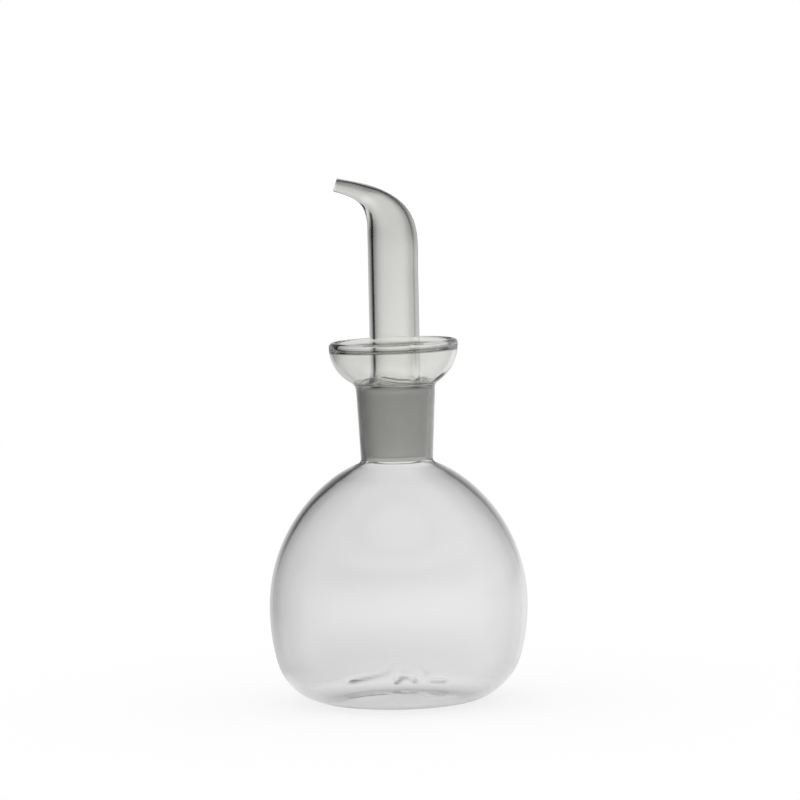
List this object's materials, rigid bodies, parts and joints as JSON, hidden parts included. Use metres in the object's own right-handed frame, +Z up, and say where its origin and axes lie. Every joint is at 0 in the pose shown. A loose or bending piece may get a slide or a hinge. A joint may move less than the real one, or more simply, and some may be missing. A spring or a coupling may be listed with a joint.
{
  "type": "oil cruet",
  "caption": "Clear glass oil cruet: round blown flask, ground-glass neck with a drip-catching cup, and a lift-out hollow plug drawn into a bent pouring spout.",
  "frame": {"origin": "centre of the base, on the plane the flask stands on", "axes": "+Z up along the flask's axis, -X the way the spout points, -Y the side that the picture shows"},
  "size_m": [0.1078, 0.1078, 0.2186],
  "materials": {
    "clear_glass": "fire-polished, clear and colourless",
    "ground_glass": "ground matt, grey-white"
  },
  "bodies": {
    "flask": {"flask_base": "clear_glass", "flask_belly": "clear_glass", "flask_dome": "clear_glass", "neck_socket": "ground_glass", "drip_cup": "clear_glass"},
    "plug_end": {"plug_end": "clear_glass"},
    "pourer": {"ground_plug": "ground_glass", "spout_tube": "clear_glass"}
  },
  "joints": [
    {"name": "pourer_lift", "type": "slide", "parent": "flask", "child": "plug_end", "axis": [0, 0, 1], "range_m": [0, 0.06]},
    {"name": "pourer_turn", "type": "hinge", "parent": "plug_end", "child": "pourer", "pos_m": [0, 0, 0.1337], "axis": [0, 0, 1], "continuous": true}
  ]
}
